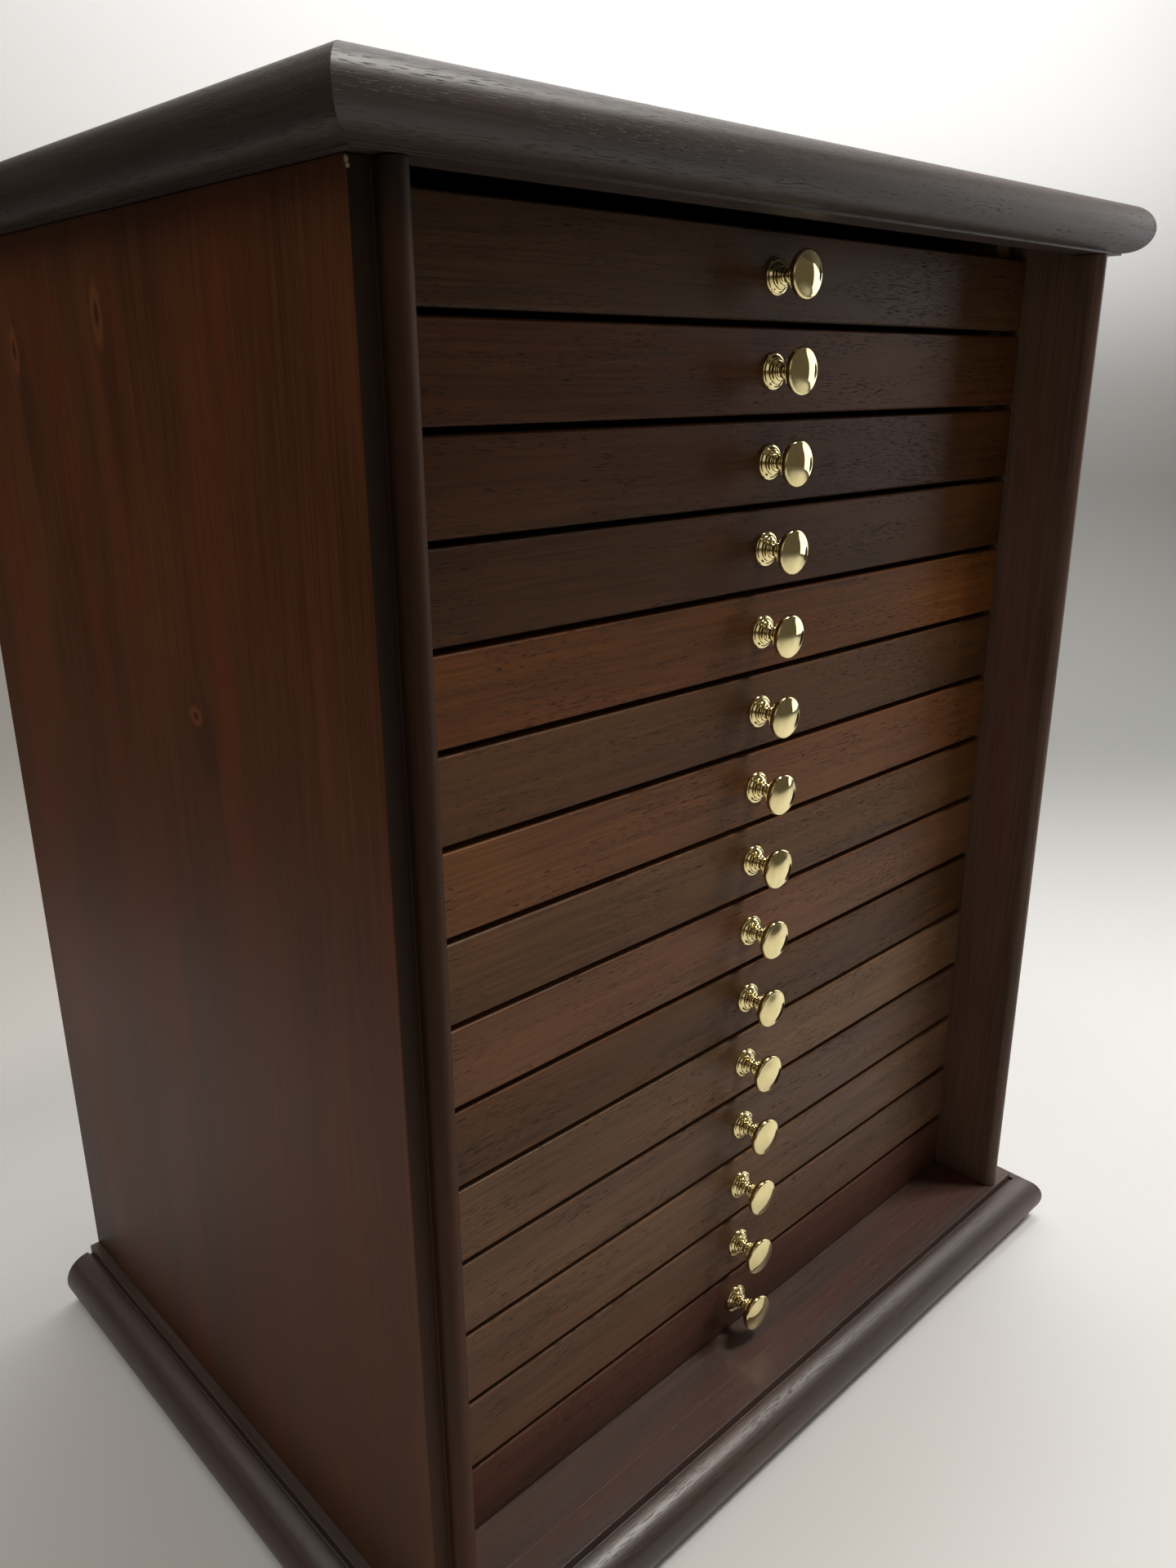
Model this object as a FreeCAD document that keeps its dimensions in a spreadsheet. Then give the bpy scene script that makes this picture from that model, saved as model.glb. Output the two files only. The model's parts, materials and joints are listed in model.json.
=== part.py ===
"""Coin cabinet: an open-fronted wooden case with fifteen shallow drawers.

Millimetres. +Z is up and the drawers open towards -Y. The origin is on the
surface the cabinet stands on, in the middle of its width and its depth.
"""
import FreeCAD, Part
import math
import os
import Sketcher

# Driving sizes. Every solid below takes its lengths from these cells.
SIZES = {
    # Case
    "inner_width": 350.0,        # between the two sides
    "side_thickness": 15.0,
    "side_depth": 294.0,         # tip of the rounded front edge to the rear edge
    "case_headroom": 0.9,        # above the top drawer front
    "floor_clearance": 0.3,      # below the bottom drawer front
    "top_board_thickness": 12.0,
    "base_board_thickness": 18.0,
    "back_thickness": 6.0,
    "back_rebate": 7.0,          # width of the ledge that the back panel sits in
    # Front edge of the sides
    "nose_diameter": 8.2,        # half-round bead, flush with the inner face
    "nose_step": 2.0,            # straight part behind the bead, down to the step
    # Mouldings round the top and the base
    "moulding_seat": 9.6,        # how far they reach in over the ends of the sides
    "top_thickness": 19.5,
    "top_fillet_reach": 3.1,
    "top_round_depth": 0.8,      # seat to the near edge of the round
    "top_round_start": 3.2,      # outer face of the side to the centre of the round
    "base_thickness": 27.0,
    "base_fillet_reach": 4.2,
    "base_groove_depth": 4.6,    # narrow groove between the fillet and the round
    "base_round_depth": 3.0,
    "base_round_start": 5.75,
    # Guide boards, fixed inside the sides behind the drawer fronts
    "guide_thickness": 10.0,
    "groove_depth": 5.5,
    "runner_play": 0.25,         # above and below a runner in its groove
    "runner_end_play": 1.0,      # between a runner's edge and the groove's bottom
    "stop_gap": 0.3,             # between a closed front and the guide boards
    # Drawers
    "drawer_count": 15,
    "drawer_pitch": 31.0,
    "drawer_gap": 2.2,           # between two drawer fronts
    "front_setback": 33.0,       # drawer fronts behind the tip of the sides
    "front_thickness": 9.0,
    "front_side_play": 0.5,
    "front_arris": 0.6,
    # Trays
    "tray_rear_play": 6.0,       # between a closed tray and the back panel
    "tray_side_play": 1.5,
    "tray_rise": 2.5,            # tray's underside above the lower edge of its front
    "tray_drop": 4.3,            # top of the walls below the upper edge of the front
    "tray_floor": 4.0,
    "wall_thickness": 6.0,
    # Square pockets. The top drawers hold the smallest coins, the bottom ones the largest.
    "pocket_depth": 3.5,
    "pocket_rib": 4.0,
    "small_columns": 5,
    "small_rows": 4,
    "medium_columns": 4,
    "medium_rows": 3,
    "large_columns": 3,
    "large_rows": 2,
    # Turned knobs, in the order that they leave the drawer's face
    "knob_flats": 24,            # narrow flats that stand for the turned round
    "rosette_diameter": 12.7,
    "rosette_edge": 0.9,
    "rosette_step_diameter": 8.8,
    "rosette_height": 1.7,
    "neck_diameter": 4.8,
    "neck_start": 3.2,
    "head_back": 9.2,            # where the neck meets the back of the head
    "head_rim": 12.0,            # where the back of the head reaches the rim
    "head_edge": 1.2,            # thickness of the rim
    "head_diameter": 15.5,
    "knob_projection": 15.2,     # where the domed front would meet the axis
}
GRADES = ("small", "medium", "large")

doc = FreeCAD.newDocument("CoinCabinet")
sheet = doc.addObject("Spreadsheet::Sheet", "Sizes")
for row, (alias, amount) in enumerate(SIZES.items(), start=1):
    sheet.set("A%d" % row, alias)
    sheet.set("B%d" % row, str(amount))
    sheet.setAlias("B%d" % row, alias)
doc.recompute()


class Size:
    """A length or count with its number and the sheet formula behind it."""

    def __init__(self, number, formula):
        self.number = number
        self.formula = formula

    def __add__(self, other):
        other = as_size(other)
        return Size(self.number + other.number, "(%s + %s)" % (self.formula, other.formula))

    def __sub__(self, other):
        other = as_size(other)
        return Size(self.number - other.number, "(%s - %s)" % (self.formula, other.formula))

    def __mul__(self, other):
        other = as_size(other)
        return Size(self.number * other.number, "(%s * %s)" % (self.formula, other.formula))

    def __truediv__(self, other):
        other = as_size(other)
        return Size(self.number / other.number, "(%s / %s)" % (self.formula, other.formula))

    def __neg__(self):
        return Size(-self.number, "(0 - %s)" % self.formula)


def as_size(thing):
    """Let plain numbers take part in sums of sizes."""
    if isinstance(thing, Size):
        return thing
    return Size(float(thing), repr(float(thing)))


def size(alias):
    """A driving size from the sheet."""
    return Size(float(sheet.get(alias)), "Sizes.%s" % alias)


ZERO = as_size(0)
CUT_MARGIN = 1.0                 # cutting outlines reach this far past the wood

# Places that several pieces share, worked out from the driving sizes
count = int(size("drawer_count").number)
inner_x = size("inner_width") / 2
outer_x = inner_x + size("side_thickness")
front_height = size("drawer_pitch") - size("drawer_gap")
stack_height = size("drawer_pitch") * size("drawer_count") - size("drawer_gap")
panel_height = size("floor_clearance") + stack_height + size("case_headroom")
floor_z = size("base_thickness")
panel_top_z = floor_z + panel_height
board_rise = size("top_thickness") - size("top_board_thickness")
base_radius = (size("base_thickness") - size("base_round_depth")) / 2
top_radius = (size("top_thickness") - size("top_round_depth")) / 2
base_overhang = size("base_round_start") + base_radius
top_overhang = size("top_round_start") + top_radius
# The base stands further forward than all else, so it sets the overall depth.
rear_y = (size("side_depth") - size("top_fillet_reach") + base_overhang) / 2
nose_y = rear_y - size("side_depth")
moulding_y = nose_y + size("top_fillet_reach")
board_x = outer_x - size("moulding_seat")
board_y = moulding_y + size("moulding_seat")
face_y = nose_y + size("front_setback")
front_back_y = face_y + size("front_thickness")
guide_y = front_back_y + size("stop_gap")
guide_x = inner_x - size("guide_thickness")
back_y = rear_y - size("back_thickness")
tray_length = back_y - size("tray_rear_play") - front_back_y
wall_height = front_height - size("tray_rise") - size("tray_floor") - size("tray_drop")


def new_body(label):
    """A sub-part: its label is the name of its file."""
    body = doc.addObject("PartDesign::Body", label)
    body.Label = label
    return body


def move(body, x=ZERO, y=ZERO, z=ZERO):
    """Put a finished body in its place in the cabinet."""
    body.setExpression("Placement.Base.x", x.formula)
    body.setExpression("Placement.Base.y", y.formula)
    body.setExpression("Placement.Base.z", z.formula)


def new_sketch(body, name, plane, lift=ZERO):
    """A sketch on one of the body's own origin planes, lifted along its normal."""
    sketch = body.newObject("Sketcher::SketchObject", name)
    role = plane + "_Plane"
    support = next(item for item in body.Origin.OriginFeatures if item.Role == role)
    sketch.AttachmentSupport = [(support, "")]
    sketch.MapMode = "FlatFace"
    sketch.setExpression("AttachmentOffset.Base.z", lift.formula)
    return sketch


def pin(sketch, edge, end, point):
    """Hold one end of an edge at a point given by two sizes."""
    for kind, place in zip(("DistanceX", "DistanceY"), point):
        number = sketch.addConstraint(Sketcher.Constraint(kind, -1, 1, edge, end, place.number))
        sketch.setExpression("Constraints[%d]" % number, place.formula)


def draw(sketch, corners, arcs=None):
    """Draw a closed outline through the corners.

    arcs gives, for the edge that leaves a corner, the centre of a round edge
    and its turn: 1 anticlockwise, -1 clockwise. The other edges are straight.
    """
    arcs = arcs or {}
    ends = []
    for index, corner in enumerate(corners):
        follower = corners[(index + 1) % len(corners)]
        start = FreeCAD.Vector(corner[0].number, corner[1].number, 0)
        stop = FreeCAD.Vector(follower[0].number, follower[1].number, 0)
        if index not in arcs:
            edge = sketch.addGeometry(Part.LineSegment(start, stop))
            ends.append((edge, 1, 2))
            continue
        middle, turn = arcs[index]
        centre = FreeCAD.Vector(middle[0].number, middle[1].number, 0)
        if turn < 0:
            start, stop = stop, start
        first = math.atan2(start.y - centre.y, start.x - centre.x)
        last = math.atan2(stop.y - centre.y, stop.x - centre.x)
        if last <= first:
            last = last + 2 * math.pi
        circle = Part.Circle(centre, FreeCAD.Vector(0, 0, 1), centre.distanceToPoint(start))
        edge = sketch.addGeometry(Part.ArcOfCircle(circle, first, last))
        ends.append((edge, 1, 2) if turn > 0 else (edge, 2, 1))
    for index, (edge, start, stop) in enumerate(ends):
        next_edge, next_start, _ = ends[(index + 1) % len(ends)]
        sketch.addConstraint(Sketcher.Constraint("Coincident", edge, stop, next_edge, next_start))
        pin(sketch, edge, start, corners[index])
    for index, (middle, _) in arcs.items():
        # With both ends pinned, one more number fixes a round edge.
        edge = ends[index][0]
        start, stop = corners[index], corners[(index + 1) % len(corners)]
        upright = abs(start[0].number - stop[0].number) < abs(start[1].number - stop[1].number)
        kind, place = ("DistanceX", middle[0]) if upright else ("DistanceY", middle[1])
        number = sketch.addConstraint(Sketcher.Constraint(kind, -1, 1, edge, 3, place.number))
        sketch.setExpression("Constraints[%d]" % number, place.formula)
    return sketch


def rectangle(low_x, low_y, high_x, high_y):
    """The four corners of a rectangle, anticlockwise."""
    return [(low_x, low_y), (high_x, low_y), (high_x, high_y), (low_x, high_y)]


def pad(body, name, sketch, length, midplane=False):
    """Raise solid wood from an outline."""
    feature = body.newObject("PartDesign::Pad", name)
    feature.Profile = sketch
    feature.setExpression("Length", length.formula)
    feature.Midplane = midplane
    return feature


def pocket(body, name, sketch, depth=None):
    """Cut down from an outline, or right through both ways when no depth is given."""
    feature = body.newObject("PartDesign::Pocket", name)
    feature.Profile = sketch
    if depth is None:
        feature.Type = "ThroughAll"
        feature.Midplane = True
    else:
        feature.setExpression("Length", depth.formula)
    return feature


# Sides: boards whose front edge is a half-round bead and a step
def make_side(label, hand):
    body = new_body(label)
    nose_radius = size("nose_diameter") / 2
    bead_y = nose_y + nose_radius
    step_y = bead_y + size("nose_step")
    bead_outer_x = inner_x + size("nose_diameter")
    ledge_x = inner_x + size("back_rebate")
    plan = [
        (inner_x * hand, back_y),
        (inner_x * hand, bead_y),
        (bead_outer_x * hand, bead_y),
        (bead_outer_x * hand, step_y),
        (outer_x * hand, step_y),
        (outer_x * hand, rear_y),
        (ledge_x * hand, rear_y),
        (ledge_x * hand, back_y),
    ]
    bead_centre = ((inner_x + nose_radius) * hand, bead_y)
    board = draw(new_sketch(body, label + "_plan", "XY"), plan, {1: (bead_centre, hand)})
    pad(body, label + "_board", board, panel_height)
    # A low tongue along the top end enters the space under the top board.
    tongue = new_sketch(body, label + "_tongue_plan", "XY", panel_height)
    draw(tongue, rectangle(inner_x * hand, board_y, board_x * hand, back_y))
    pad(body, label + "_tongue", tongue, board_rise)
    move(body, z=floor_z)
    return body


# Mouldings: a square fillet next to the sides, then a half-round edge. On the base
# a narrow groove parts the two.
def moulding_section(place, radius, groove_depth=None):
    """Section as (outward, away from the sides), and the centre of its round edge."""
    reach = size(place + "_fillet_reach")
    depth = size(place + "_round_depth")
    round_start = size(place + "_round_start")
    thickness = size(place + "_thickness")
    outline = [(-size("moulding_seat"), ZERO), (reach, ZERO)]
    if groove_depth is not None:
        outline += [(reach, groove_depth), (round_start, groove_depth)]
    else:
        outline += [(reach, depth)]
    # The round edge leaves the last corner but two.
    outline += [(round_start, depth), (round_start, thickness), (-size("moulding_seat"), thickness)]
    return outline, (round_start, depth + radius)


def turned_down(section):
    """The same section for the base, where the sides stand on top of it."""
    outline, centre = section
    return [(outward, -up) for outward, up in outline], (centre[0], -centre[1])


def make_front_moulding(label, section, overhang, seat_z, turn):
    body = new_body(label)
    outline, centre = section
    # Seen along X, outward is towards -Y.
    side_view = [(moulding_y - outward, up) for outward, up in outline]
    bead_centre = (moulding_y - centre[0], centre[1])
    round_edge = {len(outline) - 3: (bead_centre, -turn)}
    profile = draw(new_sketch(body, label + "_section", "YZ"), side_view, round_edge)
    pad(body, label + "_strip", profile, (outer_x + overhang) * 2, midplane=True)
    for hand in (-1, 1):
        inner = (outer_x - size("moulding_seat") - CUT_MARGIN) * hand
        outer = (outer_x + overhang + CUT_MARGIN) * hand
        back = moulding_y + size("moulding_seat") + CUT_MARGIN
        front = moulding_y - overhang - CUT_MARGIN
        side = "left" if hand < 0 else "right"
        mitre = new_sketch(body, "%s_mitre_%s" % (label, side), "XY")
        draw(mitre, [(inner, back), (outer, front), (outer, back)])
        pocket(body, "%s_mitre_cut_%s" % (label, side), mitre)
    move(body, z=seat_z)
    return body


def make_side_moulding(label, section, overhang, seat_z, turn, hand):
    body = new_body(label)
    outline, centre = section
    front_view = [((outer_x + outward) * hand, up) for outward, up in outline]
    bead_centre = ((outer_x + centre[0]) * hand, centre[1])
    # The section is drawn at the rear end, and the strip runs from there to the front.
    profile = new_sketch(body, label + "_section", "XZ", -rear_y)
    draw(profile, front_view, {len(outline) - 3: (bead_centre, turn * hand)})
    pad(body, label + "_strip", profile, rear_y - moulding_y + overhang)
    inner = (outer_x - size("moulding_seat") - CUT_MARGIN) * hand
    outer = (outer_x + overhang + CUT_MARGIN) * hand
    back = moulding_y + size("moulding_seat") + CUT_MARGIN
    front = moulding_y - overhang - CUT_MARGIN
    mitre = new_sketch(body, label + "_mitre", "XY")
    draw(mitre, [(inner, back), (outer, front), (inner, front)])
    pocket(body, label + "_mitre_cut", mitre)
    move(body, z=seat_z)
    return body


def make_mouldings(place, section, overhang, seat_z, turn):
    """The three mitred strips of the top or of the base."""
    label = place + "_moulding_"
    return [
        make_front_moulding(label + "front", section, overhang, seat_z, turn),
        make_side_moulding(label + "left", section, overhang, seat_z, turn, -1),
        make_side_moulding(label + "right", section, overhang, seat_z, turn, 1),
    ]


# Top and base boards, framed by the mouldings and flush with their outer faces
def make_board(label, thickness, low_z):
    body = new_body(label)
    plan = draw(new_sketch(body, label + "_plan", "XY"), rectangle(-board_x, board_y, board_x, rear_y))
    pad(body, label + "_board", plan, thickness)
    move(body, z=low_z)
    return body


# Back panel: thin board in the ledges of the sides, between base and top boards
def make_back():
    body = new_body("back_panel")
    half_width = inner_x + size("back_rebate")
    plan = rectangle(-half_width, back_y, half_width, rear_y)
    pad(body, "back_board", draw(new_sketch(body, "back_plan", "XY"), plan), panel_height)
    tongue = new_sketch(body, "back_tongue_plan", "XY", panel_height)
    draw(tongue, rectangle(-board_x, back_y, board_x, rear_y))
    pad(body, "back_tongue", tongue, board_rise)
    move(body, z=floor_z)
    return body


# Guide boards: one groove for each tray's runner
def make_guide(label, hand):
    body = new_body(label)
    plan = rectangle(guide_x * hand, guide_y, inner_x * hand, back_y)
    board = draw(new_sketch(body, label + "_plan", "XY"), plan)
    pad(body, label + "_board", board, panel_height + board_rise)
    low_z = size("floor_clearance") + size("tray_rise") - size("runner_play")
    high_z = low_z + size("tray_floor") + size("runner_play") * 2
    # The groove is cut from the rear end forwards, past both ends of the board.
    end = new_sketch(body, label + "_groove_end", "XZ", -(back_y + CUT_MARGIN))
    bottom_x = (guide_x + size("groove_depth")) * hand
    draw(end, rectangle((guide_x - CUT_MARGIN) * hand, low_z, bottom_x, high_z))
    groove = pocket(body, label + "_groove", end, back_y - guide_y + 2 * CUT_MARGIN)
    groove.Reversed = True
    rows = body.newObject("PartDesign::LinearPattern", label + "_grooves")
    rows.Originals = [groove]
    upright = next(item for item in body.Origin.OriginFeatures if item.Role == "Z_Axis")
    rows.Direction = (upright, [""])
    rows.setExpression("Length", (size("drawer_pitch") * (size("drawer_count") - 1)).formula)
    rows.setExpression("Occurrences", size("drawer_count").formula)
    body.Tip = rows
    move(body, z=floor_z)
    return body


# Drawer fronts: thin boards with the sharp edges of the face taken off
def make_front(label, low_z):
    body = new_body(label)
    half_width = inner_x - size("front_side_play")
    plan = rectangle(-half_width, ZERO, half_width, size("front_thickness"))
    board = pad(body, label + "_board", draw(new_sketch(body, label + "_plan", "XY"), plan), front_height)
    doc.recompute()
    face_edges = []
    for number, edge in enumerate(board.Shape.Edges, start=1):
        if all(abs(vertex.Y) < 1e-6 for vertex in edge.Vertexes):
            face_edges.append("Edge%d" % number)
    arris = body.newObject("PartDesign::Chamfer", label + "_arris")
    arris.Base = (board, face_edges)
    arris.setExpression("Size", size("front_arris").formula)
    move(body, y=face_y, z=low_z)
    return body


# Trays: a floor whose edges are the runners, low walls and square coin pockets
def make_tray(label, grade, low_z):
    body = new_body(label)
    runner_x = guide_x + size("groove_depth") - size("runner_end_play")
    wall_x = guide_x - size("tray_side_play")
    inside_x = wall_x - size("wall_thickness")
    inside_low = size("wall_thickness")
    inside_high = tray_length - size("wall_thickness")
    floor = new_sketch(body, label + "_floor_plan", "XY")
    draw(floor, rectangle(-runner_x, ZERO, runner_x, tray_length))
    pad(body, label + "_floor", floor, size("tray_floor"))
    box = new_sketch(body, label + "_box_plan", "XY", size("tray_floor"))
    draw(box, rectangle(-wall_x, ZERO, wall_x, tray_length))
    pad(body, label + "_box", box, wall_height)
    rim = size("tray_floor") + wall_height
    inside = new_sketch(body, label + "_inside_plan", "XY", rim)
    draw(inside, rectangle(-inside_x, inside_low, inside_x, inside_high))
    pocket(body, label + "_inside", inside, wall_height - size("pocket_depth"))
    # The first pocket lies in the front left corner and is repeated both ways.
    columns = size(grade + "_columns")
    rows = size(grade + "_rows")
    rib = size("pocket_rib")
    pitch_x = (inside_x * 2 - rib) / columns
    pitch_y = (inside_high - inside_low - rib) / rows
    corner_x = rib - inside_x
    corner_y = inside_low + rib
    place = new_sketch(body, label + "_pocket_plan", "XY", size("tray_floor") + size("pocket_depth"))
    draw(place, rectangle(corner_x, corner_y, corner_x + pitch_x - rib, corner_y + pitch_y - rib))
    first = pocket(body, label + "_pocket", place, size("pocket_depth"))
    grid = body.newObject("PartDesign::MultiTransform", label + "_pockets")
    grid.Originals = [first]
    runs = []
    for role, pitch, amount in (("X_Axis", pitch_x, columns), ("Y_Axis", pitch_y, rows)):
        run = body.newObject("PartDesign::LinearPattern", "%s_run_%s" % (label, role[0].lower()))
        axis = next(item for item in body.Origin.OriginFeatures if item.Role == role)
        run.Direction = (axis, [""])
        run.setExpression("Length", (pitch * (amount - 1)).formula)
        run.setExpression("Occurrences", amount.formula)
        runs.append(run)
    grid.Transformations = runs
    body.Tip = grid
    move(body, y=front_back_y, z=low_z + size("tray_rise"))
    return body


# Knobs: turned brass, a stepped rosette, a thin neck and a lens-shaped head
def knob_outline():
    """Half section as (radius, -distance in front of the drawer's face)."""
    rosette_radius = size("rosette_diameter") / 2
    neck_radius = size("neck_diameter") / 2
    rim_radius = size("head_diameter") / 2
    outline = [
        (ZERO, ZERO),
        (rosette_radius, ZERO),
        (rosette_radius, -size("rosette_edge")),
        (size("rosette_step_diameter") / 2, -size("rosette_height")),
        (neck_radius, -size("neck_start")),
        (neck_radius, -size("head_back")),
    ]
    # Both faces of the head swell as the square of the radius towards the rim.
    back_depth = size("head_rim") - size("head_back")
    crown_depth = size("knob_projection") - size("head_rim") - size("head_edge")
    for share in (0.5, 0.75, 1.0):
        outline.append((rim_radius * share, -(size("head_back") + back_depth * share ** 2)))
    for share in (1.0, 0.75, 0.5, 0.25):
        outline.append((rim_radius * share, -(size("knob_projection") - crown_depth * share ** 2)))
    outline.append((ZERO, outline[-1][1]))
    return outline


def make_knob(label, middle_z):
    body = new_body(label)
    flats = size("knob_flats")
    slope = Size(math.tan(math.pi / flats.number), "tan(180 deg / %s)" % flats.formula)
    reach = size("head_diameter") / 2 + CUT_MARGIN
    half_flat = reach * slope
    slab_edge = half_flat + CUT_MARGIN
    # The section is thickened to a slab, trimmed to one sector and repeated round the axis.
    profile = draw(new_sketch(body, label + "_profile", "XY"), knob_outline())
    pad(body, label + "_slab", profile, half_flat * 2, midplane=True)
    waste = new_sketch(body, label + "_waste", "XZ")
    for hand in (-1, 1):
        edge = slab_edge * hand
        draw(waste, [(ZERO, ZERO), (reach, half_flat * hand), (reach, edge), (ZERO, edge)])
    pocket(body, label + "_sector", waste)
    doc.recompute()
    turned = body.newObject("PartDesign::PolarPattern", label + "_round")
    turned.TransformMode = "Whole shape"
    axis = next(item for item in body.Origin.OriginFeatures if item.Role == "Y_Axis")
    turned.Axis = (axis, [""])
    turned.Angle = 360
    turned.setExpression("Occurrences", flats.formula)
    body.Tip = turned
    move(body, y=face_y, z=middle_z)
    return body


top_section = moulding_section("top", top_radius)
base_section = turned_down(moulding_section("base", base_radius, size("base_groove_depth")))

parts = [make_side("side_left", -1), make_side("side_right", 1)]
parts += make_mouldings("top", top_section, top_overhang, panel_top_z, 1)
parts += make_mouldings("base", base_section, base_overhang, floor_z, -1)
parts += [
    make_board("top_board", size("top_board_thickness"), panel_top_z + board_rise),
    make_board("base_board", size("base_board_thickness"), floor_z - size("base_board_thickness")),
    make_back(),
    make_guide("guide_left", -1),
    make_guide("guide_right", 1),
]
# Drawer 01 is the top one.
for drawer in range(1, count + 1):
    name = "drawer_%02d" % drawer
    low_z = floor_z + size("floor_clearance") + size("drawer_pitch") * (size("drawer_count") - drawer)
    parts.append(make_front(name + "_front", low_z))
    grade = GRADES[(drawer - 1) * len(GRADES) // count]
    parts.append(make_tray(name + "_tray", grade, low_z))
    parts.append(make_knob(name + "_knob", low_z + front_height / 2))

doc.recompute()

# Nothing is written unless every object is sound.
for item in doc.Objects:
    if "Invalid" in item.State or "Error" in item.State:
        raise RuntimeError("%s did not compute: %s" % (item.Label, item.State))
for part in parts:
    if part.Shape.isNull() or not part.Shape.isValid() or part.Shape.Volume <= 0:
        raise RuntimeError("%s has no sound solid" % part.Label)

os.makedirs("parts", exist_ok=True)
for part in parts:
    part.Shape.exportStep(os.path.join("parts", part.Label + ".step"))
print("wrote %d parts" % len(parts))
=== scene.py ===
import json
import math

import bmesh
import bpy
from mathutils import Matrix, Vector


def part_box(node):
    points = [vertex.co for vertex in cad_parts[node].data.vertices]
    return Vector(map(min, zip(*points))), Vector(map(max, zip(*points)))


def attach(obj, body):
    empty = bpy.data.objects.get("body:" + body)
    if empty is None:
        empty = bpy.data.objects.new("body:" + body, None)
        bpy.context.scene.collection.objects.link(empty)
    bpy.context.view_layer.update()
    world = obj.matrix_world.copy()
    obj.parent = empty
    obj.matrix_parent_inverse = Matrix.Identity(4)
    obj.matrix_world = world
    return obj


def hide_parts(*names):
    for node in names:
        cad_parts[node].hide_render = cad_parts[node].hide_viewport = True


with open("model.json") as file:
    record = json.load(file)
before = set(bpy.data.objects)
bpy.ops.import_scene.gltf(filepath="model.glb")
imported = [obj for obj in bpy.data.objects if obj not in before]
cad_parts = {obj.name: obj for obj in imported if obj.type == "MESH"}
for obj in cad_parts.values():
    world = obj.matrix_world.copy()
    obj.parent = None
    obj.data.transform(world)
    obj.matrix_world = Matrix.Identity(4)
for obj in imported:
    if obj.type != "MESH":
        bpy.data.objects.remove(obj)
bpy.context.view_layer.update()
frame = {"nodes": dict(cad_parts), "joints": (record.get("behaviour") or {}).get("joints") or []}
MM = 0.001


# The two sides are solid pine boards, stained walnut brown and rubbed to a satin
# sheen. A cutter has run a bead and a step down their front edges, and their ends
# are housed in the mouldings above and below.

class Wire:
    """A socket of a material's nodes. Sums and products of wires add Math nodes."""

    def __init__(self, socket):
        self.socket = socket

    def node(self, kind, settings=None, sockets=None, output=0):
        """Add a node beside this socket's own, and give one of its outputs."""
        tree = self.socket.id_data
        made = tree.nodes.new("ShaderNode" + kind)
        for name, value in (settings or {}).items():
            if name == "stops":
                set_stops(made.color_ramp, value)
            else:
                setattr(made, name, value)
        for name, value in (sockets or {}).items():
            if isinstance(value, Wire):
                tree.links.new(value.socket, made.inputs[name])
            else:
                made.inputs[name].default_value = value
        return Wire(made.outputs[output]) if made.outputs else made

    def sum_of(self, operation, first, second):
        return self.node("Math", {"operation": operation}, {0: first, 1: second})

    def __add__(self, other):
        return self.sum_of("ADD", self, other)

    def __radd__(self, other):
        return self.sum_of("ADD", other, self)

    def __sub__(self, other):
        return self.sum_of("SUBTRACT", self, other)

    def __rsub__(self, other):
        return self.sum_of("SUBTRACT", other, self)

    def __mul__(self, other):
        return self.sum_of("MULTIPLY", self, other)

    def __rmul__(self, other):
        return self.sum_of("MULTIPLY", other, self)

    def ease(self, low, high):
        """A smooth rise from 0 at low to 1 at high. It falls where high is below low."""
        settings = {"interpolation_type": "SMOOTHSTEP"}
        return self.node("MapRange", settings, {"Value": self, "From Min": low, "From Max": high})

    def times(self, x, y, z):
        """A place drawn out by three factors."""
        return self.node("VectorMath", {"operation": "MULTIPLY"}, {0: self, 1: (x, y, z)})

    def plus(self, offset):
        """A place moved by a vector or by another wire."""
        return self.node("VectorMath", {"operation": "ADD"}, {0: self, 1: offset})

    def part(self, axis):
        """One coordinate of a place."""
        return self.node("SeparateXYZ", None, {0: self}, axis)

    def along(self, direction):
        """How far a place lies along a direction."""
        sockets = {0: self, 1: tuple(direction)}
        return self.node("VectorMath", {"operation": "DOT_PRODUCT"}, sockets, 1)

    def length(self):
        """How far a place is from the middle."""
        return self.node("VectorMath", {"operation": "LENGTH"}, {0: self}, 1)


def set_stops(ramp, stops):
    """Colours of a ramp as (position, colour)."""
    while len(ramp.elements) < len(stops):
        ramp.elements.new(1.0)
    for element, (position, colour) in zip(ramp.elements, stops):
        element.position = position
        element.color = (*colour, 1.0)


def shade(colour, factor):
    """A colour made lighter or darker."""
    return tuple(channel * factor for channel in colour)


def mix(share, first, second):
    """Blend two colours."""
    first, second = (c if isinstance(c, Wire) else (*c, 1.0) for c in (first, second))
    return share.node("Mix", {"data_type": "RGBA"}, {0: share, 6: first, 7: second}, 2)


def start_material(name):
    """A new material, and its object coordinates."""
    material = bpy.data.materials.new(name)
    material.use_nodes = True
    material.node_tree.nodes.clear()
    coordinates = material.node_tree.nodes.new("ShaderNodeTexCoord")
    return material, Wire(coordinates.outputs["Object"])


def finish_material(place, height, sockets):
    """Join the shader to its output, with a relief given in metres."""
    normal = place.node("Bump", None, {"Height": height, "Distance": 1.0, "Strength": 1.0})
    shader = place.node("BsdfPrincipled", None, {"Normal": normal, **sockets})
    place.node("OutputMaterial", None, {"Surface": shader})


def streaks(place, axis, width, length, detail=2.0, seed=0.0):
    """Noise drawn out along the grain, in marks of a width and length in metres."""
    scale = [1 / width] * 3
    scale[axis] = 1 / length
    shifted = place.times(*scale).plus((seed, 1.7 * seed, 2.3 * seed))
    return shifted.node("TexNoise", None, {"Vector": shifted, "Scale": 1.0, "Detail": detail})


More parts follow.
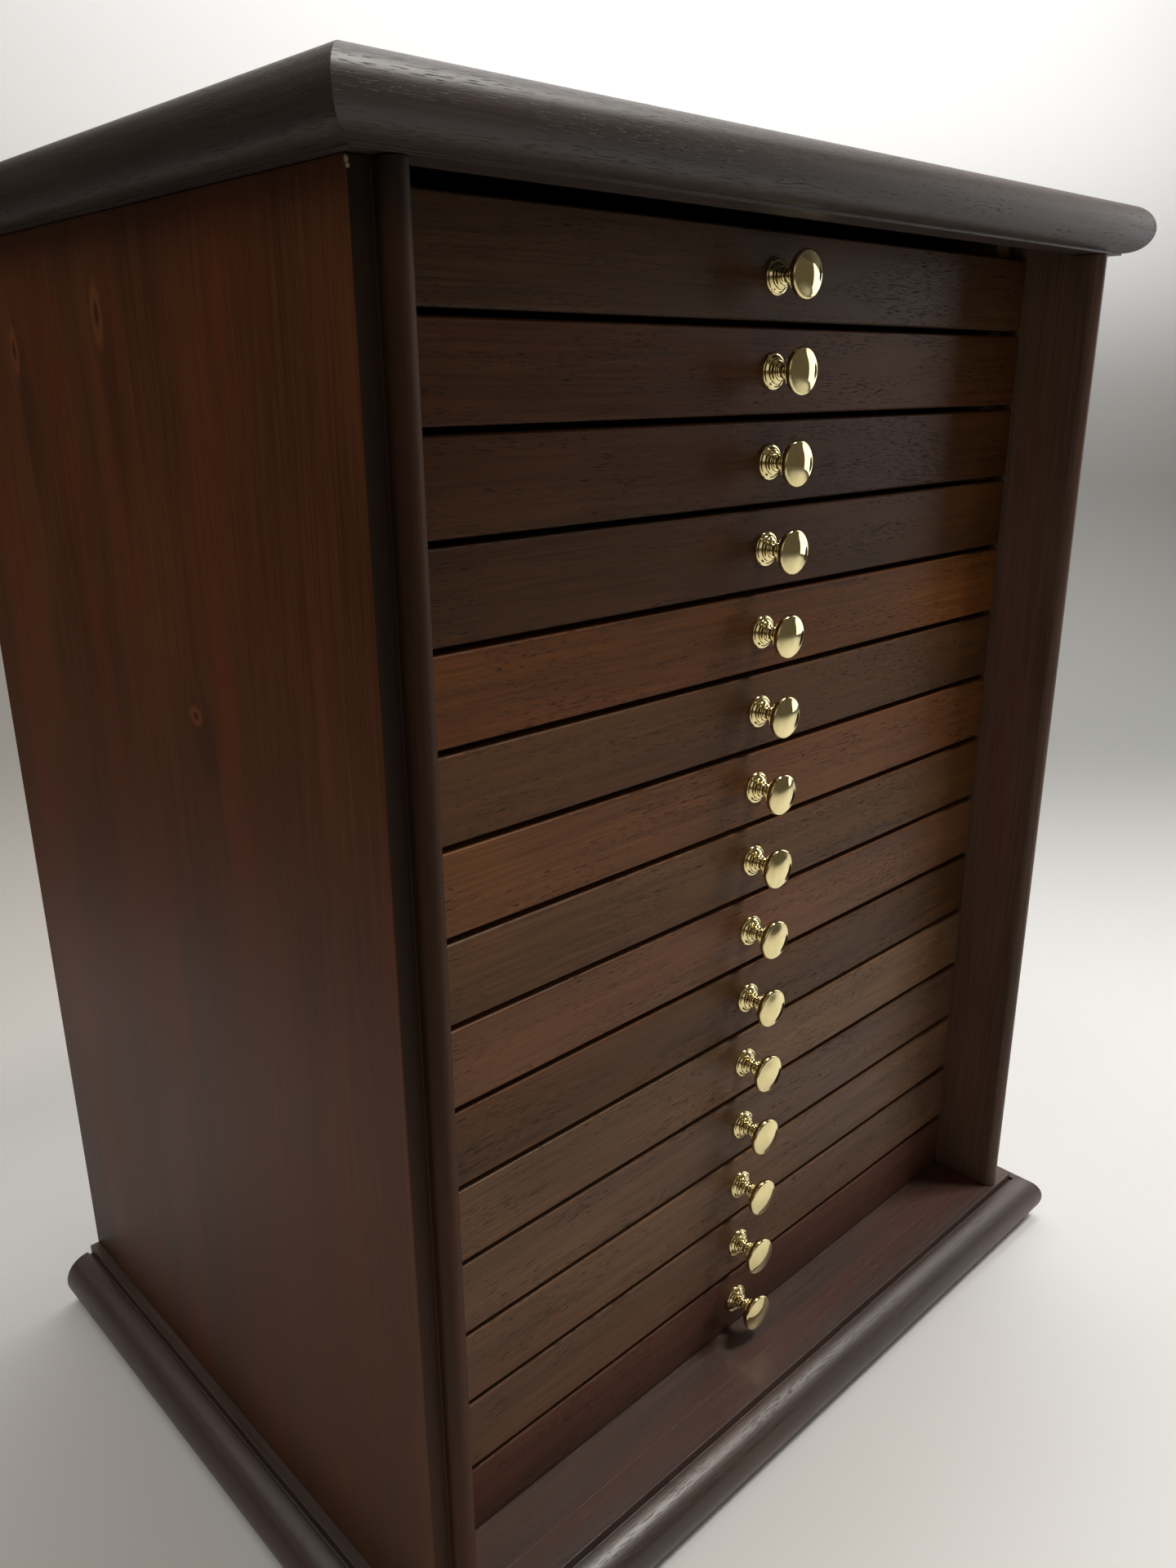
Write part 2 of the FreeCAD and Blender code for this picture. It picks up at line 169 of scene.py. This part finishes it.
# The marks of stained wood: width and length in metres, detail, and a seed of their own
MARKS = {
    "wander": (0.035, 0.25, 1.0, 5.0),
    "broad": (0.045, 0.5, 1.0, 0.0),
    "rings": (0.0045, 0.35, 2.0, 11.0),
    "fibre": (0.0011, 0.045, 3.0, 23.0),
    "thread": (0.0004, 0.02, 1.0, 31.0),
    "blotch": (0.06, 0.14, 3.0, 43.0),
    "heartwood": (0.03, 0.3, 2.0, 57.0),
    "pore": (0.0003, 0.0045, 0.0, 71.0),
    "pored": (0.012, 0.06, 1.0, 83.0)}
# Where a mark's noise begins to show, and where it shows in full
HEARTWOOD_SHOWS, PORE_SHOWS, PORED_SHOWS = (0.42, 0.68), (0.64, 0.71), (0.3, 0.62)
# How far the grain wanders to the side, in metres
WANDER = 0.006
# How much of the tone comes from each kind of mark. The figure scales the first two.
BROAD_TONE, RING_TONE, LEAST_RING_TONE = 2.4, 1.5, 0.1
FIBRE_TONE, THREAD_TONE, BLOTCH_TONE = 0.7, 0.3, 0.7
DARK_TONE, MIDDLE_TONE, LIGHT_TONE = 0.15, 0.5, 0.85
# The dark and the light ends of a colour, and the inside of a pore, as shares of it
DARK, LIGHT, PORE_DARK = 0.5, 1.55, 0.25
HEARTWOOD_TINT = (1.35, 0.72, 0.55)
# The colour of painted shade, laid on the wood where shade falls
PAINTED_SHADE_COLOUR = (0.011, 0.0070, 0.0038)
BARE_WOOD = (0.30, 0.23, 0.165)
PORE_SHARE, CHIP_SHARE = 0.8, 0.85
FIBRE_ROUGH, BLOTCH_ROUGH, PORE_ROUGH, PAINTED_SHADE_ROUGH = 0.16, 0.12, 0.25, 0.2
# Relief in metres
FIBRE_RISE, THREAD_RISE, PORE_DEPTH, BOARD_WAVE = 0.00003, 0.000015, 0.00014, 0.0003
# Distances round a knot, in its own widths: where the grain parts, the rim of its face,
# its heart, and the darker patch below it
KNOT_PARTS, KNOT_FACE, KNOT_HEART, KNOT_DARK_BELOW = (4.0, 0.6), (1.05, 0.55), (0.42, 0.22), (1.5, 0.2)
KNOT_PUSH = -0.7
DARK_BELOW_SHARE, FACE_SHARE, HEART_SHARE = 0.6, 0.8, 0.9
FACE_LIGHT = 1.25


def knotted(place, knots):
    """The place with its grain bent round knots, and their share of darker patch, face and heart.
    """
    bent, darker_below, face, heart = place, 0.0, 0.0, 0.0
    for y, z, width, height in knots:
        centred = place.plus((0.0, -y, -z))
        near = centred.times(0.0, 1 / width, 1 / height).length()
        push = near.ease(*KNOT_PARTS) * (centred.part(1) * KNOT_PUSH)
        bent = bent.plus(push.node("CombineXYZ", None, {1: push}))
        face = near.ease(*KNOT_FACE) + face
        heart = near.ease(*KNOT_HEART) + heart
        below = centred.plus((0.0, 1.1 * width, 2.2 * height))
        below = below.times(0.0, 0.6 / width, 0.3 / height).length()
        darker_below = below.ease(*KNOT_DARK_BELOW) + darker_below
    return bent, darker_below, face, heart


def stained_wood(
        name, axis, tone_colour, seed, red=0.0, pores=0.0, figure=0.25, knots=(), sheen=0.42,
        gloss=0.4, relief=1.0, painted_shade=None, chips=()):
    """Stained wood of a middle colour with its grain along an axis.

    red is the share of redder heartwood bands and pores the share of open pores.
    knots are (y, z, width, height) on a board that faces left or right, chips are
    (x, y, z, radius) of small bare marks, and the function given for painted shade
    tells, for a place on the wood, how much shade is painted there.
    """
    material, place = start_material(name)
    bent, darker_below, knot_face, knot_heart = knotted(place, knots)

    def marks(kind):
        width, length, detail, own_seed = MARKS[kind]
        return streaks(bent, axis, width, length, detail, seed + own_seed)

    sway = (marks("wander") - 0.5) * WANDER
    bent = bent.plus(sway.node("CombineXYZ", None, {0: sway, 1: sway, 2: sway}))
    broad, rings, fibre, thread, blotch = (
        marks(kind) - 0.5 for kind in ("broad", "rings", "fibre", "thread", "blotch"))
    tone = broad * (BROAD_TONE * figure) + rings * (RING_TONE * figure + LEAST_RING_TONE)
    tone = tone + fibre * FIBRE_TONE + thread * THREAD_TONE + blotch * BLOTCH_TONE + 0.5
    dark, light = shade(tone_colour, DARK), shade(tone_colour, LIGHT)
    stops = [(DARK_TONE, dark), (MIDDLE_TONE, tone_colour), (LIGHT_TONE, light)]
    colour = tone.node("ValToRGB", {"stops": stops}, {0: tone})
    redder = tuple(channel * tint for channel, tint in zip(light, HEARTWOOD_TINT))
    colour = mix(marks("heartwood").ease(*HEARTWOOD_SHOWS) * red, colour, redder)
    open_pore = marks("pore").ease(*PORE_SHOWS) * marks("pored").ease(*PORED_SHOWS) * pores
    colour = mix(open_pore * PORE_SHARE, colour, shade(dark, PORE_DARK))
    if knots:
        colour = mix(darker_below * DARK_BELOW_SHARE, colour, dark)
        colour = mix(knot_face * FACE_SHARE, colour, shade(light, FACE_LIGHT))
        colour = mix(knot_heart * HEART_SHARE, colour, dark)
    roughness = fibre * FIBRE_ROUGH + blotch * BLOTCH_ROUGH + open_pore * PORE_ROUGH + sheen
    # Painted shade darkens the wood, and roughens it, where the given function says
    if painted_shade:
        shaded = painted_shade(place)
        colour = mix(shaded, colour, PAINTED_SHADE_COLOUR)
        roughness = shaded * PAINTED_SHADE_ROUGH + roughness
    for x, y, z, radius in chips:
        bare = place.plus((-x, -y, -z)).length().ease(radius, radius * 0.6)
        colour = mix(bare * CHIP_SHARE, colour, BARE_WOOD)
    height = fibre * (FIBRE_RISE * relief) + thread * (THREAD_RISE * relief)
    height = height - open_pore * (PORE_DEPTH * relief) + broad * BOARD_WAVE
    finish_material(
        place, height, {"Base Color": colour, "Roughness": roughness, "Specular IOR Level": gloss})
    return material


WELD = 0.005 * MM
FLAT = math.radians(0.5)
SHARP_CORNER = math.radians(28)
SHARP_SHADING = math.radians(50)


def dressed(node, body, material, ease_edge):
    """A CAD piece as one closed mesh with its sharp edges eased, standing for its node."""
    shape = bmesh.new()
    shape.from_mesh(frame["nodes"][node].data)
    bmesh.ops.remove_doubles(shape, verts=shape.verts[:], dist=WELD)
    bmesh.ops.dissolve_limit(
        shape, angle_limit=FLAT, use_dissolve_boundaries=False,
        verts=shape.verts[:], edges=shape.edges[:], delimit=set())
    corners = [edge for edge in shape.edges if edge.calc_face_angle(0.0) > SHARP_CORNER]
    bmesh.ops.bevel(
        shape, geom=corners, offset=ease_edge, offset_type="OFFSET", affect="EDGES", segments=2,
        profile=0.5, material=-1, clamp_overlap=True)
    place_piece(shape, node + "_wood", body, material, node)


def place_piece(shape, name, body, material, node):
    """Make a finished piece of a bmesh, on its body and in the place of its CAD node."""
    for face in shape.faces:
        face.smooth = True
    for edge in shape.edges:
        edge.smooth = edge.calc_face_angle(0.0) < SHARP_SHADING
    mesh = bpy.data.meshes.new(name)
    shape.to_mesh(mesh)
    shape.free()
    mesh.materials.append(material)
    piece = bpy.data.objects.new(name, mesh)
    bpy.context.scene.collection.objects.link(piece)
    even = piece.modifiers.new("even_shading", "WEIGHTED_NORMAL")
    even.keep_sharp = True
    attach(piece, body)
    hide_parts(node)


# From where to where the painted shade changes on a side, in metres: forwards, on the face
# of the step and round the bead; upwards, along the bead and under the top; and downwards,
# in the lower half and over the base
STEP_FACE, BEAD_ROUND = (-0.1334, -0.1335), (-0.1345, -0.1370)
BEAD_RISE, UNDER_TOP = (0.05, 0.34), (0.470, 0.491)
LOWER_HALF, OVER_BASE = (0.24, 0.06), (0.065, 0.035)


def paint_side_shade(place):
    """Painted shade in the step beside the bead, at the ends of a side and low down."""
    forward, up = place.part(1), place.part(2)
    front = forward.ease(*STEP_FACE) * 0.8 - forward.ease(*BEAD_ROUND) * 0.15
    front = front * (up.ease(*BEAD_RISE) * 0.6 + 0.5)
    ends = up.ease(*UNDER_TOP) * 0.3 + up.ease(*LOWER_HALF) * 0.25 + up.ease(*OVER_BASE) * 0.2
    return front + ends


ALONG_X, ALONG_Y, ALONG_Z = 0, 1, 2
# For each side: its colour, its seed, its knots, its chips and where shade is painted on it
SIDES = {
    "left": (
        (0.090, 0.0285, 0.0092), 3.0,
        ((-0.0269, 0.3401, 0.0050, 0.0042), (0.0111, 0.4627, 0.0050, 0.012),
         (0.086, 0.4532, 0.005, 0.010)),
        ((-0.1900, -0.1337, 0.4895, 0.0010), (-0.1895, -0.1337, 0.4882, 0.0007)),
        paint_side_shade),
    "right": (
        (0.098, 0.0590, 0.0410), 19.0,
        ((0.047, 0.215, 0.0045, 0.004), (-0.058, 0.402, 0.0035, 0.006)), (), None)}
for hand, (tone_colour, seed, knots, chips, painted_shade) in SIDES.items():
    pine = stained_wood(
        "stained_pine_" + hand, ALONG_Z, tone_colour, seed, red=0.25, figure=0.12, knots=knots,
        sheen=0.41, gloss=0.14, relief=0.4, painted_shade=painted_shade, chips=chips)
    dressed("side_" + hand, "case", pine, 0.5 * MM)


# The mouldings are strips of walnut with a half-round edge and a small fillet,
# mitred at the front corners and glued round the boards of the top and the base.

TOP_COLOUR = (0.035, 0.0230, 0.0180)
BASE_COLOUR = (0.042, 0.0190, 0.0115)
BASE_CHIPS = (
    (0.129, -0.1414, 0.0270, 0.0007), (0.0276, -0.1528, 0.0262, 0.0007),
    (0.1638, -0.1427, 0.0270, 0.0006))


def edged_wood(name, level, axis, seed):
    """The walnut of the top or of the base. Pieces of one seed look like one board."""
    if level == "top":
        return stained_wood(
            name, axis, TOP_COLOUR, seed, red=0.15, pores=0.8, sheen=0.44, relief=0.6)
    return stained_wood(
        name, axis, BASE_COLOUR, seed, red=0.5, pores=0.6, figure=0.35, sheen=0.45, gloss=0.8,
        relief=0.6, chips=BASE_CHIPS)


SEEDS = {"top": 131.0, "base": 167.0}
RUNS = (("front", ALONG_X), ("left", ALONG_Y), ("right", ALONG_Y))
for level, seed in SEEDS.items():
    for number, (run, axis) in enumerate(RUNS):
        walnut = edged_wood("moulding_%s_%s" % (level, run), level, axis, seed + 7.0 * number)
        dressed("%s_moulding_%s" % (level, run), "case", walnut, 0.2 * MM)


# The boards of the top and the base lie inside the mouldings, flush with them. The
# base board's front strip shows in front of the drawers as the floor of the case.

for level, seed in SEEDS.items():
    walnut = edged_wood("board_" + level, level, ALONG_X, seed)
    dressed(level + "_board", "case", walnut, 0.12 * MM)


# The back is one thin veneered panel, stained like the case. It lies in ledges along
# the back edges of the sides, between the top and the base.

BACK_COLOUR = (0.060, 0.028, 0.015)
panel = stained_wood(
    "back_panel_veneer", ALONG_Z, BACK_COLOUR, 251.0, red=0.2, pores=0.4, sheen=0.55)
dressed("back_panel", "case", panel, 0.3 * MM)


# Two boards of waxed beech lie inside the sides, behind the fronts. Their grooves
# carry the runners of the trays, and their front edges stop the fronts.

BEECH_COLOUR = (0.28, 0.17, 0.095)
beech = stained_wood("waxed_beech", ALONG_Y, BEECH_COLOUR, 271.0, pores=0.3, sheen=0.5)
for hand in ("left", "right"):
    dressed("guide_" + hand, "case", beech, 0.2 * MM)


# The drawer fronts are thin walnut boards, each cut from another plank, so their
# tones differ. The grain runs along them, with open pores.

# From the highest drawer to the lowest
FRONT_COLOURS = (
    (0.053, 0.0255, 0.0100), (0.065, 0.0230, 0.0060), (0.051, 0.0185, 0.0040),
    (0.053, 0.0195, 0.0045), (0.118, 0.0395, 0.0085), (0.068, 0.0287, 0.0094),
    (0.123, 0.0466, 0.0139), (0.095, 0.0418, 0.0135), (0.107, 0.0451, 0.0192),
    (0.076, 0.0316, 0.0091), (0.114, 0.0587, 0.0274), (0.097, 0.0506, 0.0268),
    (0.117, 0.0597, 0.0304), (0.108, 0.0549, 0.0301), (0.078, 0.0307, 0.0183))
WORN_FRONTS = (5, 6, 7, 9, 11)
WORN_EDGE, FRESH_EDGE = 0.32 * MM, 0.16 * MM
FIRST_FRONT_SEED, NEXT_FRONT_SEED = 301.0, 13.0
drawers = [joint["child"] for joint in frame["joints"]]


def paint_front_foot_shade(low, high):
    """Painted shade on the eased edge along the foot of a front, darkest at the bottom."""
    def painted_shade(place):
        return place.part(2).ease(low.z + 0.9 * MM, low.z + 0.4 * MM) * 0.4
    return painted_shade


# Each front has painted shade along the eased edge of its foot.
for number, (drawer, tone_colour) in enumerate(zip(drawers, FRONT_COLOURS)):
    walnut = stained_wood(
        drawer + "_walnut", ALONG_X, tone_colour, FIRST_FRONT_SEED + NEXT_FRONT_SEED * number,
        red=0.08, pores=1.0, figure=0.2, sheen=0.40, gloss=0.17, relief=0.5,
        painted_shade=paint_front_foot_shade(*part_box(drawer + "_front")))
    eased = WORN_EDGE if number + 1 in WORN_FRONTS else FRESH_EDGE
    dressed(drawer + "_front", drawer, walnut, eased)


# The trays are plain light wood. The floor's edges are the runners, and square
# pockets in the floor hold the coins.

TRAY_COLOUR = (0.24, 0.138, 0.075)
tray_wood = stained_wood("tray_wood", ALONG_X, TRAY_COLOUR, 601.0, pores=0.5, sheen=0.5)
for drawer in drawers:
    dressed(drawer + "_tray", drawer, tray_wood, 0.25 * MM)


# The knobs are turned from brass and polished: a ringed rosette against the front,
# a thin neck, and a lens-shaped head with a crisp rim.

# Half section as (radius, distance in front of the drawer's face), in millimetres
KNOB_SECTION = (
    (6.35, 0.0), (6.35, 0.5), (6.25, 0.8), (5.95, 1.0), (5.6, 1.02), (5.35, 1.15),
    (5.05, 1.55), (4.7, 1.85), (4.4, 1.95), (4.35, 2.25), (4.15, 2.5), (3.7, 2.6),
    (3.3, 2.75), (3.05, 3.0), (3.15, 3.25), (3.2, 3.55), (3.0, 3.85), (2.6, 3.98),
    (2.3, 4.15), (2.1, 4.6), (2.05, 5.2), (2.15, 5.7), (2.35, 5.85), (2.75, 6.0),
    (2.95, 6.35), (2.8, 6.7), (2.4, 6.85), (2.25, 7.1), (2.3, 7.5), (2.75, 8.0), (3.7, 8.5),
    (4.9, 9.0), (6.05, 9.7), (6.95, 10.45), (7.6, 11.25), (8.0, 11.95), (8.15, 12.5),
    (8.15, 12.95), (8.0, 13.35), (7.7, 13.62), (7.3, 13.72), (6.4, 13.95), (5.0, 14.4),
    (3.4, 14.78), (1.7, 15.0), (0.0, 15.05))
KNOB_STEPS = 72
POLE_WELD = 0.001 * MM

BRIGHT_BRASS, DULL_BRASS = (0.86, 0.74, 0.40), (0.72, 0.60, 0.29)
LATHE_RELIEF = 0.000004
brass, place = start_material("polished_brass")
lathe_marks = streaks(place, ALONG_X, width=0.0006, length=0.004, seed=5.0)
tarnish = streaks(place, ALONG_Z, width=0.004, length=0.006, detail=3.0, seed=9.0)
brass_colour = mix(tarnish.ease(0.35, 0.75) * 0.6, BRIGHT_BRASS, DULL_BRASS)
finish_material(place, (lathe_marks - 0.5) * LATHE_RELIEF, {
    "Base Color": brass_colour, "Metallic": 1.0, "Roughness": tarnish * 0.06 + 0.03})


def turned(section, steps, at):
    """Turn a half section about the axis that leaves the drawer's face at a point."""
    shape = bmesh.new()
    points = [shape.verts.new((radius * MM, -distance * MM, 0.0)) for radius, distance in section]
    edges = [shape.edges.new(pair) for pair in zip(points, points[1:])]
    bmesh.ops.spin(
        shape, geom=points + edges, cent=(0, 0, 0), axis=(0, 1, 0), angle=2 * math.pi, steps=steps,
        use_merge=True)
    bmesh.ops.remove_doubles(shape, verts=shape.verts[:], dist=POLE_WELD)
    rim = [edge for edge in shape.edges if edge.is_boundary]
    bmesh.ops.edgeloop_fill(shape, edges=rim)
    bmesh.ops.recalc_face_normals(shape, faces=shape.faces[:])
    bmesh.ops.translate(shape, verts=shape.verts[:], vec=at)
    return shape


for drawer in drawers:
    low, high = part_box(drawer + "_knob")
    seat = Vector(((low.x + high.x) / 2, high.y, (low.z + high.z) / 2))
    knob = turned(KNOB_SECTION, KNOB_STEPS, seat)
    place_piece(knob, drawer + "_knob_turned", drawer, brass, drawer + "_knob")


# A plain pale floor rises into a backdrop behind the cabinet. Soft light falls on it from
# high on the front right, from a pale screen on the right and from above.

# The camera's line of sight, its upright and its place, as solved from the photograph
VIEW = Vector((0.65212282, 0.6872755, -0.3199816))
CAMERA_UP = Vector((0.2248343, 0.22775804, 0.94740478))
CAMERA_PLACE = Vector((-0.35648, -0.38622, 0.44284))
FOCAL_PIXELS = 1471.36
IMAGE_LONG_SIDE = 1920
SENSOR = 36.0

camera_data = bpy.data.cameras.new("camera")
camera_data.sensor_width = SENSOR
camera_data.lens = FOCAL_PIXELS / IMAGE_LONG_SIDE * SENSOR
camera_data.clip_start = 0.01
camera = bpy.data.objects.new("camera", camera_data)
bpy.context.scene.collection.objects.link(camera)
right = VIEW.cross(CAMERA_UP).normalized()
up = right.cross(VIEW).normalized()
turn = Matrix((right, up, -VIEW.normalized())).transposed().to_4x4()
camera.matrix_world = Matrix.Translation(CAMERA_PLACE) @ turn
bpy.context.scene.camera = camera

# Level directions of the set: away from the camera, and to the camera's right
AWAY = Vector((VIEW.x, VIEW.y, 0.0)).normalized()
ACROSS = Vector((AWAY.y, -AWAY.x, 0.0))

SHEET_COLOURS = (0.62, 0.617, 0.61), (0.68, 0.677, 0.67)
SHADED_SHEET_BEHIND = (0.29, 0.29, 0.28)
SHADED_SHEET_LEFT = (0.26, 0.23, 0.205)
LIT_SHEET_ABOVE = (0.91, 0.91, 0.905)
GREY_FLOOR = (0.10, 0.095, 0.09)
PAPER_RELIEF = 0.0004
paper, place = start_material("pale_paper")
mottle = place.node("TexNoise", None, {"Vector": place, "Scale": 3.0, "Detail": 2.0})
across, away, rise = place.along(ACROSS), place.along(AWAY), place.part(2)
# The sheet ends on the left, where the grey floor under it goes on.
sheet_end = (across + away * 0.4).ease(-0.64, -0.52)
sheet_colour = mix(mottle, *SHEET_COLOURS)
# Painted shade makes it darker behind the cabinet, low down, and painted light makes it white
# above.
behind = away.ease(0.1, 0.9) * rise.ease(0.8, 0.25)
sheet_colour = mix(behind, sheet_colour, SHADED_SHEET_BEHIND)
# More painted shade, darker and warmer, on the left behind the cabinet, low down.
left_behind = across.ease(-0.15, -0.45) * away.ease(-0.1, 0.3) * rise.ease(0.5, 0.2)
sheet_colour = mix(left_behind * 0.6, sheet_colour, SHADED_SHEET_LEFT)
sheet_colour = mix(rise.ease(0.4, 0.8), sheet_colour, LIT_SHEET_ABOVE)
paper_colour = mix(sheet_end, GREY_FLOOR, sheet_colour)
finish_material(place, mottle * PAPER_RELIEF, {"Base Color": paper_colour, "Roughness": 0.7})

BACKDROP_WIDTH = 7.0
FLOOR_FRONT = 3.5
FLOOR_BACK = 0.95
SWEEP_RADIUS = 0.3
SWEEP_STEPS = 16
WALL_HEIGHT = 2.0
sweep = bmesh.new()
line = [
    sweep.verts.new((-BACKDROP_WIDTH / 2, -FLOOR_FRONT, 0.0)),
    sweep.verts.new((-BACKDROP_WIDTH / 2, FLOOR_BACK, 0.0)),
]
sweep.edges.new(line)
curve = bmesh.ops.spin(
    sweep, geom=[line[1]], cent=(-BACKDROP_WIDTH / 2, FLOOR_BACK, SWEEP_RADIUS), axis=(1, 0, 0),
    angle=math.pi / 2, steps=SWEEP_STEPS)
top = next(item for item in curve["geom_last"] if isinstance(item, bmesh.types.BMVert))
wall_top = bmesh.ops.extrude_vert_indiv(sweep, verts=[top])["verts"][0]
wall_top.co.z += WALL_HEIGHT
strip = bmesh.ops.extrude_edge_only(sweep, edges=sweep.edges[:])
moved = [item for item in strip["geom"] if isinstance(item, bmesh.types.BMVert)]
bmesh.ops.translate(sweep, verts=moved, vec=(BACKDROP_WIDTH, 0, 0))
bmesh.ops.recalc_face_normals(sweep, faces=sweep.faces[:])
facing = Matrix((ACROSS, AWAY, Vector((0, 0, 1)))).transposed().to_4x4()
bmesh.ops.transform(sweep, matrix=facing, verts=sweep.verts[:])
for face in sweep.faces:
    face.smooth = True
mesh = bpy.data.meshes.new("floor")
sweep.to_mesh(mesh)
sweep.free()
mesh.materials.append(paper)
floor = bpy.data.objects.new("floor", mesh)
bpy.context.scene.collection.objects.link(floor)

# A dim warm room lights the set from all round.
ROOM_COLOUR, ROOM_STRENGTH = (1.0, 0.87, 0.68, 1.0), 0.10
world = bpy.data.worlds.new("studio")
bpy.context.scene.world = world
world.use_nodes = True
room = world.node_tree.nodes["Background"]
room.inputs["Color"].default_value = ROOM_COLOUR
room.inputs["Strength"].default_value = ROOM_STRENGTH


def soft_lamp(name, at, aim, width, height, watts, colour, spread=180):
    """A rectangular soft box that faces a point."""
    lamp = bpy.data.lights.new(name, "AREA")
    lamp.shape = "RECTANGLE"
    lamp.size = width
    lamp.size_y = height
    lamp.energy = watts
    lamp.color = colour
    lamp.spread = math.radians(spread)
    box = bpy.data.objects.new(name, lamp)
    bpy.context.scene.collection.objects.link(box)
    aimed = (Vector(aim) - Vector(at)).to_track_quat("-Z", "Y").to_matrix().to_4x4()
    box.matrix_world = Matrix.Translation(at) @ aimed
    box.visible_camera = False


WARM = (1.0, 0.96, 0.90)
COOL = (0.96, 0.98, 1.0)
KEYS = {"key_left": (0.89, -0.89, 2.35), "key_right": (1.06, -0.69, 2.35)}
for name, at in KEYS.items():
    soft_lamp(name, at, (0, 0, 0.2), 0.22, 0.45, watts=5.2, colour=WARM, spread=90)
soft_lamp("left_fill", (-0.9, 0.4, 1.9), (-0.3, 0, 0.1), 1.4, 1.4, watts=15.0, colour=WARM)
soft_lamp("front_fill", (-1.3, -1.9, 1.3), (0, 0, 0.3), 1.4, 1.4, watts=3.0, colour=WARM)
soft_lamp("ceiling", (0.2, 0.2, 2.1), (0, 0, 0), 1.4, 1.4, watts=4.0, colour=WARM)
soft_lamp("screen", (1.5, -0.5, 0.6), (0, -0.5, 0.5), 0.95, 1.0, watts=6.0, colour=COOL)
soft_lamp("backdrop", (0.5, 0.1, 2.0), (1.0, 1.2, 1.2), 0.8, 0.6, watts=25.0, colour=COOL)

bpy.context.scene.view_settings.view_transform = "Standard"
